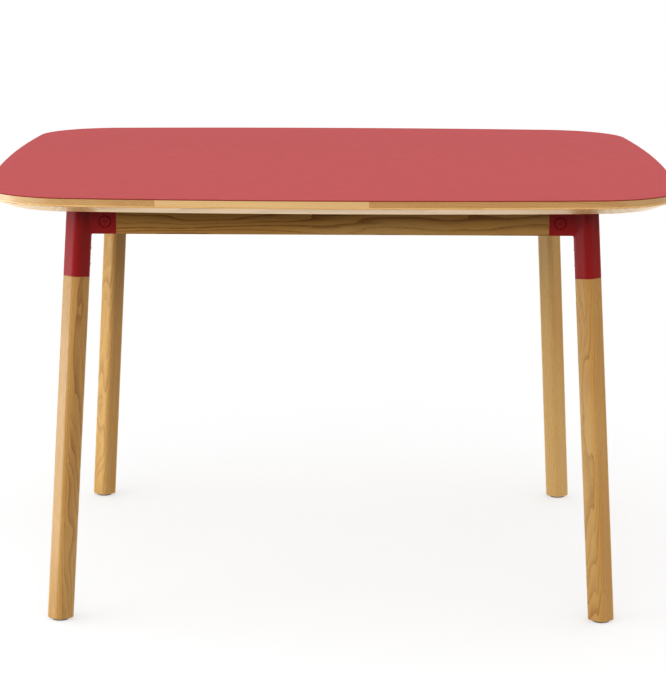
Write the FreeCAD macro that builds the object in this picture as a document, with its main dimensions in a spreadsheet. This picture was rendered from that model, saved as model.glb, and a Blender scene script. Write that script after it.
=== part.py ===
import FreeCAD, Part
import math
import os
import Sketcher
from FreeCAD import Placement, Rotation, Vector

# Square dining table: a bowed square top of linoleum in a two-layer oak rim, an oak apron,
# and four splayed oak legs in moulded corner brackets.
# Millimetres, +Z up, origin on the floor under the middle of the top, front towards -Y.

doc = FreeCAD.newDocument("square_table")
sheet = doc.addObject("Spreadsheet::Sheet", "sizes")

# Driving dimensions: alias, number, meaning.
drivingSizes = (
    ("tableHeight", "744", "floor to the top of the linoleum"),
    ("topWidth", "1200", "across the middles of two opposite sides of the top"),
    ("sideBow", "35", "how far a side bulges over a chord as long as the top is wide"),
    ("cornerRadius", "161", "rounding of the top's corners in plan"),
    ("linoThick", "2", "linoleum sheet"),
    ("linoEase", "0.5", "rounding of the linoleum's upper edge"),
    ("rimUpperThick", "10", "upper layer of the rim"),
    ("rimLowerThick", "15", "lower layer of the rim"),
    ("rimWidth", "60", "rim, from the edge of the top to the core"),
    ("bevelRun", "34", "how far the bevel under the rim reaches in"),
    ("bevelLand", "2.5", "upright strip of the lower layer above the bevel"),
    ("arrisRadius", "2.5", "rounding between that strip and the bevel"),
    ("backingThick", "1", "veneer under the core"),
    ("tongueThick", "4", "loose tongue between rim and core"),
    ("tongueReach", "9", "how deep the tongue's groove goes into the rim and into the core"),
    ("glueGap", "0.1", "clearance round the tongue"),
    ("upperJointLeft", "291", "upper layer's joint left of the middle of a side"),
    ("upperJointRight", "59", "upper layer's joint right of the middle of a side"),
    ("upperJointCorner", "133", "edge of the top to the upper layer's joint at a right-hand corner"),
    ("lowerJointLeft", "389", "lower layer's joint left of the middle of a side"),
    ("lowerJointRight", "246", "lower layer's joint right of the middle of a side"),
    ("legInset", "172.5", "edge of the top to the leg's axis at the underside"),
    ("legSplay", "38.2", "how much further out the leg's axis lies at the floor"),
    ("legSide", "38", "leg and sleeve, across two flats"),
    ("legCorner", "11", "rounding of the leg's long edges"),
    ("footEase", "2", "rounding of the foot's lower edge"),
    ("sleeveWall", "4.4", "bracket's wall round the leg's tenon"),
    ("sleeveDrop", "124", "underside of the top to the lower end of the sleeve, on the leg's axis"),
    ("sleeveEase", "0.6", "rounding of the sleeve's lower edge"),
    ("socketRoof", "16", "underside of the top to the end of the leg's socket, on the leg's axis"),
    ("fitGap", "0.15", "clearance round the tenons in their sockets"),
    ("endGap", "2", "clearance beyond the ends of tenons, bolts, screws and nails"),
    ("holeGap", "0.2", "clearance round bolts, screws, inserts and nails, on the radius"),
    ("railThick", "20", "apron and bracket arm, through the thickness"),
    ("railHigh", "52", "apron and bracket arm, top to bottom"),
    ("railEase", "2", "rounding of the lower edges of apron and arm"),
    ("armReach", "61.5", "leg's axis at the underside to the end of a bracket arm"),
    ("blockReach", "44", "leg's axis to where the block between the arms meets an arm's middle"),
    ("rootRadius", "4", "rounding where the arms and the block meet the sleeve"),
    ("railTenonCheek", "5", "step on each side of the apron's tenon"),
    ("railTenonShoulder", "6", "step above and below the apron's tenon"),
    ("railTenonLength", "34", "apron's tenon"),
    ("plateThick", "6", "bracket's screw plate"),
    ("plateReach", "85", "leg's axis to the inner edge of the screw plate"),
    ("plateTip", "44", "width of the screw plate's inner edge"),
    ("plateScrewEdge", "11", "inner edge of the screw plate to its single screw"),
    ("plateScrewNear", "46", "leg's axis to the pair of screws of the plate"),
    ("plateScrewPair", "36", "between the two screws of that pair"),
    ("plateScrewBite", "15", "how deep a plate screw goes into the top"),
    ("apronScrewPlace", "210", "middle of the apron to each of its screws"),
    ("apronScrewGrip", "28", "underside of the top to the seat of an apron screw"),
    ("apronScrewBite", "16", "how deep an apron screw goes into the top"),
    ("apronScrewWell", "11", "well for an apron screw, diameter"),
    ("screwShank", "4.5", "wood screw"),
    ("screwHead", "9", "wood screw's head, diameter"),
    ("screwHeadHigh", "2.6", "wood screw's head, height"),
    ("screwPoint", "4", "wood screw's point"),
    ("legBoltLow", "18", "lower end of the sleeve to the lower leg bolt"),
    ("legBoltHigh", "26.6", "lower edge of the arms to the upper leg bolt"),
    ("legBoltShank", "6", "leg bolt"),
    ("legBoltHead", "10", "leg bolt's head, diameter"),
    ("legBoltHeadHigh", "6", "leg bolt's head, height"),
    ("legKeyWide", "5", "key socket in a leg bolt, across two flats"),
    ("legKeyDeep", "3", "key socket in a leg bolt, depth"),
    ("washerWide", "12", "washer under a leg bolt"),
    ("washerThick", "1.6", "washer under a leg bolt"),
    ("insertWide", "10", "threaded insert in the leg's tenon, diameter"),
    ("insertLength", "13", "threaded insert in the leg's tenon"),
    ("armBoltInset", "19", "end of a bracket arm to its bolt"),
    ("armBoltDrop", "31", "underside of the top to the bolt in a bracket arm"),
    ("armBoltHead", "20", "heads of the arm's bolt and sleeve nut, diameter"),
    ("armBoltHeadThick", "2", "heads of the arm's bolt and sleeve nut, thickness"),
    ("armBoltShank", "5", "arm's bolt"),
    ("armKeyWide", "4", "key socket in the arm's bolt, across two flats"),
    ("armKeyDeep", "1.4", "key socket in the arm's bolt, depth"),
    ("armRecessGap", "0.5", "clearance round the head of the arm's bolt or nut in its recess"),
    ("armRecessDeep", "2", "depth of that recess"),
    ("nutBarrel", "8", "sleeve nut's barrel, diameter"),
    ("glideWide", "30", "foot glide, diameter"),
    ("glideThick", "3", "foot glide"),
    ("glideEase", "1", "bevel of the glide's lower edge"),
    ("nailShank", "2.5", "glide's nail"),
    ("nailLength", "18", "glide's nail under its head"),
    ("nailHead", "6", "glide's nail head, diameter"),
    ("nailHeadHigh", "1", "glide's nail head, height"),
    ("nailSink", "0.8", "how far the nail's head lies above the floor"),
)
for row, (alias, number, meaning) in enumerate(drivingSizes, start=1):
    sheet.set(f"A{row}", meaning)
    sheet.set(f"B{row}", number)
    sheet.setAlias(f"B{row}", alias)
doc.recompute()

# Heights and places that several pieces share, as expressions on the sheet.
halfTop = "(sizes.topWidth / 2)"
sideRadius = f"(({halfTop}^2 + sizes.sideBow^2) / (2 * sizes.sideBow))"
rimTop = "(sizes.tableHeight - sizes.linoThick)"
rimSplit = f"({rimTop} - sizes.rimUpperThick)"
underside = f"({rimSplit} - sizes.rimLowerThick)"
coreBottom = f"({underside} + sizes.backingThick)"
armBottom = f"({underside} - sizes.railHigh)"
diagonal = "sqrt(0.5)"
legAxis = f"({halfTop} - sizes.legInset)"
axisTop = f"(sqrt(2) * {legAxis})"
splayRun = "(sqrt(2) * sizes.legSplay)"
splay = f"atan({splayRun} / {underside})"
armEnd = f"({legAxis} - sizes.armReach)"
armBoltPlace = "(sizes.armReach - sizes.armBoltInset)"
armSeat = "(sizes.railThick / 2 - sizes.armRecessDeep)"
tenonInset = "(sizes.sleeveWall + sizes.fitGap)"
tenonSide = f"(sizes.legSide - 2 * {tenonInset})"
tenonCorner = f"(sizes.legCorner - {tenonInset})"
socketLength = f"((sizes.sleeveDrop - sizes.socketRoof) / cos({splay}))"
bareSleeve = "(sizes.sleeveDrop - sizes.railHigh)"
legBoltPlaces = ("sizes.legBoltLow", f"({bareSleeve} - sizes.legBoltHigh)")
screwHole = "(sizes.screwShank + 2 * sizes.holeGap)"
plateScrewPlaces = (
    (f"{axisTop} - sizes.plateReach + sizes.plateScrewEdge", "0"),
    (f"{axisTop} - sizes.plateScrewNear", "sizes.plateScrewPair / 2"),
    (f"{axisTop} - sizes.plateScrewNear", "-sizes.plateScrewPair / 2"),
)
apronScrewPlaces = tuple((f"{sign}sizes.apronScrewPlace", f"-{legAxis}") for sign in ("", "-"))
nailSeat = "(sizes.nailSink + sizes.nailHeadHigh)"
nailTip = f"({nailSeat} + sizes.nailLength)"

# The table repeats at quarter turns: sides from the front round to the left,
# and the corner to the right of each of them.
sideNames = ("front", "right", "back", "left")
cornerNames = ("front_right", "back_right", "back_left", "front_left")
cornerTurn = -45
quarterTurn = 90
upAxis = Vector(0, 0, 1)
nearby = 0.001


def value(expression):
    """Number that an expression on the sheet gives."""
    result = sheet.evalExpression(expression)
    return getattr(result, "Value", result)


def axisAt(drop):
    """How far out the leg's axis lies, along the corner's diagonal, at a drop below the underside."""
    return f"({axisTop} + {splayRun} * ({drop}) / {underside})"


def newBody(name):
    return doc.addObject("PartDesign::Body", name)


def originFeature(body, role):
    return next(feature for feature in body.Origin.OriginFeatures if feature.Role == role)


def newSketch(body, name, role, base=("0", "0", "0"), axis=upAxis, angle="0"):
    """Sketch on one of the body's own planes, moved and turned within that plane's frame."""
    sketch = body.newObject("Sketcher::SketchObject", name)
    sketch.AttachmentSupport = [(originFeature(body, role), "")]
    sketch.MapMode = "FlatFace"
    sketch.AttachmentOffset = Placement(Vector(), Rotation(axis, value(angle)))
    for letter, expression in zip("xyz", base):
        sketch.setExpression(f"AttachmentOffset.Base.{letter}", expression)
    sketch.setExpression("AttachmentOffset.Rotation.Angle", angle)
    return sketch


def flatSketch(body, name, height):
    return newSketch(body, name, "XY_Plane", ("0", "0", height))


def legSketch(body, name, drop):
    """Sketch square to the leg, centred on its axis, at a drop below the underside."""
    base = (axisAt(drop), "0", f"{underside} - ({drop})")
    return newSketch(body, name, "XY_Plane", base, Vector(0, -1, 0), splay)


def boltSketch(body, name):
    """Sketch on the sleeve's inner flat, its upright axis running up the leg from the sleeve's end."""
    half = "sizes.legSide / 2"
    height = f"{underside} - sizes.sleeveDrop - {half} * sin({splay})"
    base = ("0", height, f"{axisAt('sizes.sleeveDrop')} - {half} * cos({splay})")
    return newSketch(body, name, "YZ_Plane", base, Vector(-1, 0, 0), splay)


def joinEnds(sketch, kind, first, count):
    """Tie each line or arc of a closed run to the next one."""
    for place in range(count):
        following = first + (place + 1) % count
        sketch.addConstraint(Sketcher.Constraint(kind, first + place, 2, following, 1))


def bind(sketch, kind, where, expression):
    """Dimension of a sketch, tied to the sheet."""
    index = sketch.addConstraint(Sketcher.Constraint(kind, *where, value(expression)))
    name = f"{kind}{index}"
    sketch.renameConstraint(index, name)
    sketch.setExpression(f"Constraints.{name}", expression)


def polygon(sketch, corners):
    """Closed polygon through corners given as pairs of expressions."""
    first = sketch.GeometryCount
    points = [Vector(value(across), value(along), 0) for across, along in corners]
    following = points[1:] + points[:1]
    sketch.addGeometry([Part.LineSegment(*ends) for ends in zip(points, following)])
    joinEnds(sketch, "Coincident", first, len(corners))
    for line, (across, along) in enumerate(corners, start=first):
        bind(sketch, "DistanceX", (-1, 1, line, 1), across)
        bind(sketch, "DistanceY", (-1, 1, line, 1), along)


def rectangle(sketch, left, right, low, high):
    polygon(sketch, ((left, low), (right, low), (right, high), (left, high)))


def circle(sketch, across, along, diameter):
    centre = Vector(value(across), value(along), 0)
    place = sketch.addGeometry(Part.Circle(centre, upAxis, value(diameter) / 2))
    bind(sketch, "DistanceX", (-1, 1, place, 3), across)
    bind(sketch, "DistanceY", (-1, 1, place, 3), along)
    bind(sketch, "Diameter", (place,), diameter)


def arc(sketch, centre, radius, start, end):
    """Arc between two angles in degrees."""
    whole = Part.Circle(centre, upAxis, radius)
    sketch.addGeometry(Part.ArcOfCircle(whole, math.radians(start), math.radians(end)))


def roundedSquare(sketch, side, corner):
    """Square about the sketch's origin with rounded corners: flats and quarter arcs in turn."""
    first = sketch.GeometryCount
    half = value(side) / 2
    radius = value(corner)
    for quarter in range(4):
        start = quarterTurn * quarter
        turn = Rotation(upAxis, start)
        low = turn.multVec(Vector(half, radius - half, 0))
        high = turn.multVec(Vector(half, half - radius, 0))
        sketch.addGeometry(Part.LineSegment(low, high))
        arc(sketch, turn.multVec(Vector(half - radius, half - radius, 0)), radius, start, start + quarterTurn)
    joinEnds(sketch, "Tangent", first, 8)
    for flat, kind in ((0, "DistanceX"), (2, "DistanceY")):
        bind(sketch, kind, (-1, 1, first + flat, 1), f"{side} / 2")
        bind(sketch, kind, (first + flat + 4, 1, -1, 1), f"{side} / 2")
    sketch.addConstraint(Sketcher.Constraint("Vertical", first))
    bind(sketch, "Radius", (first + 1,), corner)
    for bend in (3, 5, 7):
        sketch.addConstraint(Sketcher.Constraint("Equal", first + 1, first + bend))


def railSection(sketch):
    """Section of apron and arm, hung from the sketch's origin, with its two lower corners rounded."""
    half = value("sizes.railThick / 2")
    low = -value("sizes.railHigh")
    ease = value("sizes.railEase")
    top, left, bend, bottom, otherBend, right = range(6)
    sketch.addGeometry(Part.LineSegment(Vector(half, 0, 0), Vector(-half, 0, 0)))
    sketch.addGeometry(Part.LineSegment(Vector(-half, 0, 0), Vector(-half, low + ease, 0)))
    arc(sketch, Vector(ease - half, low + ease, 0), ease, 180, 270)
    sketch.addGeometry(Part.LineSegment(Vector(ease - half, low, 0), Vector(half - ease, low, 0)))
    arc(sketch, Vector(half - ease, low + ease, 0), ease, 270, 360)
    sketch.addGeometry(Part.LineSegment(Vector(half, low + ease, 0), Vector(half, 0, 0)))
    for line in (left, bend, bottom, otherBend):
        sketch.addConstraint(Sketcher.Constraint("Tangent", line, 2, line + 1, 1))
    sketch.addConstraint(Sketcher.Constraint("Coincident", right, 2, top, 1))
    sketch.addConstraint(Sketcher.Constraint("Coincident", top, 2, left, 1))
    sketch.addConstraint(Sketcher.Constraint("Symmetric", top, 1, top, 2, -1, 1))
    sketch.addConstraint(Sketcher.Constraint("Vertical", left))
    sketch.addConstraint(Sketcher.Constraint("Vertical", right))
    sketch.addConstraint(Sketcher.Constraint("Horizontal", bottom))
    sketch.addConstraint(Sketcher.Constraint("Equal", bend, otherBend))
    bind(sketch, "DistanceX", (top, 2, top, 1), "sizes.railThick")
    bind(sketch, "DistanceY", (bottom, 1, -1, 1), "sizes.railHigh")
    bind(sketch, "Radius", (bend,), "sizes.railEase")


def topOutline(sketch, inset):
    """Plan of the top, drawn in by an inset: four wide side arcs and four tangent corner arcs."""
    first = sketch.GeometryCount
    radius = value(sideRadius)
    corner = value("sizes.cornerRadius")
    drawnIn = value(inset)
    sideCentre = value(halfTop) - radius
    cornerCentre = (sideCentre + math.sqrt(2 * (radius - corner) ** 2 - sideCentre ** 2)) / 2
    spread = math.degrees(math.atan2(cornerCentre, cornerCentre - sideCentre))
    for quarter in range(4):
        start = quarterTurn * quarter
        turn = Rotation(upAxis, start)
        bend = turn.multVec(Vector(cornerCentre, cornerCentre, 0))
        arc(sketch, turn.multVec(Vector(sideCentre, 0, 0)), radius - drawnIn, start - spread, start + spread)
        arc(sketch, bend, corner - drawnIn, start + spread, start + quarterTurn - spread)
    joinEnds(sketch, "Tangent", first, 8)
    behind = f"({sideRadius} - {halfTop})"
    centres = (("DistanceX", -1, "-"), ("DistanceY", -2, "-"), ("DistanceX", -1, ""), ("DistanceY", -2, ""))
    for side, (kind, axis, sign) in enumerate(centres):
        sideArc = first + 2 * side
        sketch.addConstraint(Sketcher.Constraint("PointOnObject", sideArc, 3, axis))
        bind(sketch, kind, (-1, 1, sideArc, 3), f"{sign}{behind}")
    bind(sketch, "Radius", (first,), f"{sideRadius} - {inset}")
    bind(sketch, "Radius", (first + 1,), f"sizes.cornerRadius - {inset}")
    for place in range(2, 8):
        sketch.addConstraint(Sketcher.Constraint("Equal", first + place % 2, first + place))


def pad(body, sketch, length, symmetric=False):
    feature = body.newObject("PartDesign::Pad", f"{sketch.Name}Pad")
    feature.Profile = sketch
    feature.SideType = "Symmetric" if symmetric else "One side"
    feature.setExpression("Length", length)


def pocket(body, sketch, length=None, along=False, symmetric=False):
    """Cut against the sketch's normal, or along it; right through without a length."""
    feature = body.newObject("PartDesign::Pocket", f"{sketch.Name}Pocket")
    feature.Profile = sketch
    feature.Reversed = along
    feature.SideType = "Symmetric" if symmetric else "One side"
    if length:
        feature.setExpression("Length", length)
    else:
        feature.Type = "ThroughAll"
    return feature


def revolve(body, kind, sketch):
    """Turned solid or turned cut: a half profile about the sketch's upright axis."""
    feature = body.newObject(kind, f"{sketch.Name}Turned")
    feature.Profile = sketch
    feature.ReferenceAxis = (sketch, ["V_Axis"])
    feature.Angle = 360


def dressEdges(body, kind, name, wanted):
    """Fillet or chamfer on the edges of the body's last feature that pass a test."""
    doc.recompute()
    base = body.Tip
    edges = enumerate(base.Shape.Edges, start=1)
    names = [f"Edge{number}" for number, edge in edges if wanted(edge)]
    feature = body.newObject(kind, name)
    feature.Base = (base, names)
    return feature


def levelWith(edge, height):
    """Whether an edge lies flat at a height."""
    box = edge.BoundBox
    return abs(box.ZMin - height) < nearby and abs(box.ZMax - height) < nearby


def fourRound(body, features):
    """Repeat cuts of a body at the four quarter turns."""
    pattern = body.newObject("PartDesign::PolarPattern", f"{body.Name}Quarters")
    pattern.Originals = features
    pattern.Axis = (originFeature(body, "Z_Axis"), [""])
    pattern.Occurrences = 4
    body.Tip = pattern


def copyOf(master, name, placement):
    link = doc.addObject("App::Link", name)
    link.LinkedObject = master
    link.Placement = placement
    return link


def quarterTurns(firstTurn):
    return [Placement(Vector(), Rotation(upAxis, firstTurn + quarterTurn * count)) for count in range(4)]


def repeat(master, names, firstTurn, seat=Placement()):
    """One sub-part at each of the four quarter turns."""
    turns = quarterTurns(firstTurn)
    return [copyOf(master, name, turn.multiply(seat)) for name, turn in zip(names, turns)]


def group(name, master, seats, firstTurn):
    """Identical fasteners as one sub-part: every seat at each of the four quarter turns."""
    places = [turn.multiply(seat) for turn in quarterTurns(firstTurn) for seat in seats]
    fasteners = doc.addObject("Part::Compound", name)
    fasteners.Links = [copyOf(master, f"{name}_{count}", place) for count, place in enumerate(places)]
    return fasteners


# Sheets of the top.

def makeLinoleum():
    body = newBody("top_linoleum")
    plan = flatSketch(body, "linoleumPlan", rimTop)
    topOutline(plan, "0")
    pad(body, plan, "sizes.linoThick")
    tableTop = value("sizes.tableHeight")
    ease = dressEdges(body, "PartDesign::Fillet", "linoleumEase", lambda edge: levelWith(edge, tableTop))
    ease.setExpression("Radius", "sizes.linoEase")
    return body


def screwHoles(body, name):
    """Holes for the plate screws and the apron screws of one quarter, up from the underside."""
    plate = newSketch(body, f"{name}PlateHoles", "XY_Plane", ("0", "0", underside), upAxis, f"{cornerTurn}")
    apron = flatSketch(body, f"{name}ApronHoles", underside)
    for sketch, places in ((plate, plateScrewPlaces), (apron, apronScrewPlaces)):
        for place in places:
            circle(sketch, *place, screwHole)
    plateCut = pocket(body, plate, "sizes.plateScrewBite + sizes.endGap", along=True)
    apronCut = pocket(body, apron, "sizes.apronScrewBite + sizes.endGap", along=True)
    fourRound(body, [plateCut, apronCut])


def makeCore():
    body = newBody("top_core")
    plan = flatSketch(body, "corePlan", coreBottom)
    topOutline(plan, "sizes.rimWidth")
    pad(body, plan, f"{rimTop} - {coreBottom}")
    pocket(body, grooveSketch(body, "coreGroove", f"{rimSplit} + sizes.tongueThick / 2"), "sizes.tongueThick")
    screwHoles(body, "core")
    return body


def makeBacking():
    body = newBody("top_backing")
    plan = flatSketch(body, "backingPlan", underside)
    topOutline(plan, "sizes.rimWidth")
    pad(body, plan, "sizes.backingThick")
    screwHoles(body, "backing")
    return body


# Rim of the top: two layers of oak pieces with staggered joints, and a loose tongue to the core.

def ringSketch(body, name, height, outer, inner):
    sketch = flatSketch(body, name, height)
    topOutline(sketch, outer)
    topOutline(sketch, inner)
    return sketch


def grooveSketch(body, name, height, gap="0"):
    """Plan of the tongue's groove, or of the tongue itself with a gap."""
    outer = f"(sizes.rimWidth - sizes.tongueReach + {gap})"
    inner = f"(sizes.rimWidth + sizes.tongueReach - {gap})"
    return ringSketch(body, name, height, outer, inner)


def makeUpperRing():
    body = newBody("rimUpperRing")
    pad(body, ringSketch(body, "upperPlan", rimSplit, "0", "sizes.rimWidth"), "sizes.rimUpperThick")
    pocket(body, grooveSketch(body, "upperGroove", rimSplit), "sizes.tongueThick / 2", along=True)
    return body


def makeLowerRing():
    body = newBody("rimLowerRing")
    pad(body, ringSketch(body, "lowerPlan", underside, "0", "sizes.rimWidth"), "sizes.rimLowerThick")
    pocket(body, grooveSketch(body, "lowerGroove", rimSplit), "sizes.tongueThick / 2")
    outerRadii = (value(sideRadius), value("sizes.cornerRadius"))

    def outerEdge(edge, height):
        if not levelWith(edge, height):
            return False
        return any(abs(edge.Curve.Radius - radius) < nearby for radius in outerRadii)

    bottom = value(underside)
    bevel = dressEdges(body, "PartDesign::Chamfer", "lowerBevel", lambda edge: outerEdge(edge, bottom))
    bevel.ChamferType = "Two distances"
    bevel.setExpression("Size", "sizes.rimLowerThick - sizes.bevelLand")
    bevel.setExpression("Size2", "sizes.bevelRun")
    arris = value(f"{rimSplit} - sizes.bevelLand")
    soft = dressEdges(body, "PartDesign::Fillet", "lowerArris", lambda edge: outerEdge(edge, arris))
    soft.setExpression("Radius", "min(sizes.arrisRadius; sizes.bevelLand)")
    return body


def makeTongueRing():
    body = newBody("rimTongueRing")
    low = f"{rimSplit} - sizes.tongueThick / 2 + sizes.glueGap"
    plan = grooveSketch(body, "tonguePlan", low, "sizes.glueGap")
    pad(body, plan, "sizes.tongueThick - 2 * sizes.glueGap")
    return body


def rimPiece(ring, name, left, right, low, high):
    """Part of a ring between two upright joints, cut out by a box given in plan."""
    box = doc.addObject("Part::Box", f"{name}Box")
    box.setExpression("Placement.Base.x", left)
    box.setExpression("Placement.Base.y", low)
    box.setExpression("Placement.Base.z", underside)
    box.setExpression("Length", f"{right} - ({left})")
    box.setExpression("Width", f"{high} - ({low})")
    box.setExpression("Height", f"{rimTop} - {underside}")
    piece = doc.addObject("Part::Common", name)
    piece.Base = ring
    piece.Tool = box
    return piece


def makeRim():
    upper = makeUpperRing()
    lower = makeLowerRing()
    tongue = makeTongueRing()
    beyond = f"({halfTop} + sizes.rimWidth)"
    upperLeft = "-sizes.upperJointLeft"
    upperRight = "sizes.upperJointRight"
    upperCorner = f"({halfTop} - sizes.upperJointCorner)"
    lowerLeft = "-sizes.lowerJointLeft"
    lowerRight = "sizes.lowerJointRight"
    sidePlan = (f"-{beyond}", f"-({halfTop} - sizes.cornerRadius)")
    cornerPlan = (beyond, f"-{beyond}")
    pieces = (
        (upper, "rim_upper_{}_middle", sideNames, upperLeft, upperRight, *sidePlan),
        (upper, "rim_upper_{}_end", sideNames, upperRight, upperCorner, *sidePlan),
        (upper, "rim_upper_corner_{}", cornerNames, upperCorner, *cornerPlan, upperLeft),
        (lower, "rim_lower_{}", sideNames, lowerLeft, lowerRight, *sidePlan),
        (lower, "rim_lower_corner_{}", cornerNames, lowerRight, *cornerPlan, lowerLeft),
        (tongue, "rim_tongue_{}", cornerNames, "0", *cornerPlan, "0"),
    )
    made = []
    for ring, pattern, names, *plan in pieces:
        master = rimPiece(ring, pattern.format("master"), *plan)
        made += repeat(master, [pattern.format(name) for name in names], 0)
    return made


# Apron rails, with a tenon at each end.

def tenonPlan(gap):
    """Section of the apron's tenon, or of its socket with a gap, below the underside."""
    half = f"(sizes.railThick / 2 - sizes.railTenonCheek + {gap})"
    shoulder = f"(sizes.railTenonShoulder - {gap})"
    return f"-{half}", half, f"{shoulder} - sizes.railHigh", f"-{shoulder}"


def makeApron():
    body = newBody("apronMaster")
    place = (f"-{legAxis}", underside, "0")
    section = newSketch(body, "apronSection", "YZ_Plane", place)
    railSection(section)
    pad(body, section, f"2 * {armEnd}", symmetric=True)
    tenon = newSketch(body, "apronTenon", "YZ_Plane", place)
    rectangle(tenon, *tenonPlan("0"))
    pad(body, tenon, f"2 * ({armEnd} + sizes.railTenonLength)", symmetric=True)
    bolts = newSketch(body, "apronBoltHoles", "XZ_Plane", ("0", "0", legAxis))
    for sign in ("", "-"):
        along = f"{sign}({armEnd} + sizes.armBoltInset)"
        circle(bolts, along, f"{underside} - sizes.armBoltDrop", "sizes.nutBarrel + 2 * sizes.holeGap")
    pocket(body, bolts, symmetric=True)
    wells = flatSketch(body, "apronWells", armBottom)
    holes = flatSketch(body, "apronHoles", armBottom)
    for place in apronScrewPlaces:
        circle(wells, *place, "sizes.apronScrewWell")
        circle(holes, *place, screwHole)
    pocket(body, wells, "sizes.railHigh - sizes.apronScrewGrip", along=True)
    pocket(body, holes, along=True)
    return repeat(body, [f"apron_{name}" for name in sideNames], 0)


# Corner pieces, drawn with the corner's diagonal along +X.

def makeLeg():
    body = newBody("legMaster")
    belowFloor = f"({underside} + sizes.legSide)"
    section = legSketch(body, "legSection", belowFloor)
    roundedSquare(section, "sizes.legSide", "sizes.legCorner")
    pad(body, section, f"({belowFloor} - sizes.sleeveDrop) / cos({splay})")
    floorCut = newSketch(body, "legFloorCut", "XZ_Plane")
    inner = f"{axisAt(underside)} - 2 * sizes.legSide"
    outer = f"{axisAt(underside)} + 2 * sizes.legSide"
    rectangle(floorCut, inner, outer, "-3 * sizes.legSide", "sizes.glideThick")
    pocket(body, floorCut, symmetric=True)
    sole = value("sizes.glideThick")
    ease = dressEdges(body, "PartDesign::Fillet", "legFootEase", lambda edge: levelWith(edge, sole))
    ease.setExpression("Radius", "sizes.footEase")
    tenon = legSketch(body, "legTenon", "sizes.sleeveDrop")
    roundedSquare(tenon, tenonSide, tenonCorner)
    pad(body, tenon, f"{socketLength} - sizes.endGap")
    bores = boltSketch(body, "legInsertBores")
    for place in legBoltPlaces:
        circle(bores, "0", place, "sizes.insertWide + 2 * sizes.holeGap")
    pocket(body, bores, f"{tenonInset} + sizes.insertLength + sizes.endGap", along=True)
    nail = flatSketch(body, "legNailHole", "sizes.glideThick")
    circle(nail, axisAt(underside), "0", "sizes.nailShank + 2 * sizes.holeGap")
    pocket(body, nail, f"{nailTip} - sizes.glideThick + sizes.endGap", along=True)
    return repeat(body, [f"leg_{name}" for name in cornerNames], cornerTurn)


def addArm(body, name, hand):
    """One of the bracket's two arms, towards the side that hand gives."""
    base = ("0", underside, axisTop)
    section = newSketch(body, f"{name}Section", "YZ_Plane", base, Vector(0, hand, 0), "135")
    railSection(section)
    pad(body, section, "sizes.armReach")


def cutArm(body, name, hand):
    """Socket for the apron's tenon, and the stepped hole for the arm's bolt and nut."""
    aside = f"{hand} * {diagonal}"
    base = (f"{aside} * sizes.armReach", underside, f"{axisTop} - {diagonal} * sizes.armReach")
    socket = newSketch(body, f"{name}Socket", "YZ_Plane", base, Vector(0, hand, 0), "135")
    rectangle(socket, *tenonPlan("sizes.fitGap"))
    pocket(body, socket, "sizes.railTenonLength + sizes.endGap")
    seat = (f"{axisTop} - {diagonal} * {armBoltPlace}", f"{aside} * {armBoltPlace}")
    height = f"{underside} - sizes.armBoltDrop"
    bore = newSketch(body, f"{name}Bore", "XY_Plane", (*seat, height), -upAxis, f"{90 - 45 * hand}")
    recess = "sizes.armBoltHead / 2 + sizes.armRecessGap"
    hole = "sizes.nutBarrel / 2 + sizes.holeGap"
    clear = "sizes.railThick"
    polygon(bore, (
        ("0", f"-{clear}"), (recess, f"-{clear}"), (recess, f"-{armSeat}"), (hole, f"-{armSeat}"),
        (hole, armSeat), (recess, armSeat), (recess, clear), ("0", clear),
    ))
    revolve(body, "PartDesign::Groove", bore)


def addSleeve(body):
    """Sleeve along the leg's axis, cut off level at the underside."""
    sleeve = legSketch(body, "sleeveSection", "sizes.sleeveDrop")
    roundedSquare(sleeve, "sizes.legSide", "sizes.legCorner")
    pad(body, sleeve, f"sizes.sleeveDrop / cos({splay}) + sizes.legSide")
    flush = newSketch(body, "sleeveFlush", "XZ_Plane")
    reach = "2 * sizes.legSide"
    rectangle(flush, f"{axisTop} - {reach}", f"{axisTop} + {reach}", underside, f"{underside} + {reach}")
    pocket(body, flush, symmetric=True)


def addBlock(body):
    """Solid corner between the two arms."""
    block = flatSketch(body, "blockOutline", armBottom)
    aside = f"{diagonal} * sizes.blockReach"
    inner = f"{axisTop} - {aside}"
    polygon(block, ((axisTop, "0"), (inner, aside), (inner, f"-{aside}")))
    pad(body, block, "sizes.railHigh")


def addPlate(body):
    """Plate under the top, drawn in clear of the aprons' ends."""
    plate = flatSketch(body, "plateOutline", f"{underside} - sizes.plateThick")
    root = f"{diagonal} * (sizes.armReach - sizes.railThick)"
    rootEdge = f"{axisTop} - {root}"
    innerEdge = f"{axisTop} - sizes.plateReach"
    halfTip = "sizes.plateTip / 2"
    polygon(plate, (
        (axisTop, "0"), (rootEdge, root), (innerEdge, halfTip),
        (innerEdge, f"-{halfTip}"), (rootEdge, f"-{root}"),
    ))
    pad(body, plate, "sizes.plateThick")


def easeBracket(body):
    """Roundings where arms and block run into the sleeve, and round the sleeve's lower end."""
    armLevel = value(armBottom)
    innerFlat = value(f"{axisAt('sizes.railHigh')} - sizes.legSide / 2 / cos({splay})")
    sleeveEnd = value(f"{underside} - sizes.sleeveDrop + sizes.legSide / 4")

    def rootEdge(edge):
        return levelWith(edge, armLevel) and abs(edge.CenterOfMass.x - innerFlat) < nearby

    roots = dressEdges(body, "PartDesign::Fillet", "armRoots", rootEdge)
    roots.setExpression("Radius", "sizes.rootRadius")
    end = dressEdges(body, "PartDesign::Fillet", "sleeveSoftEnd", lambda edge: edge.BoundBox.ZMax < sleeveEnd)
    end.setExpression("Radius", "sizes.sleeveEase")


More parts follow.
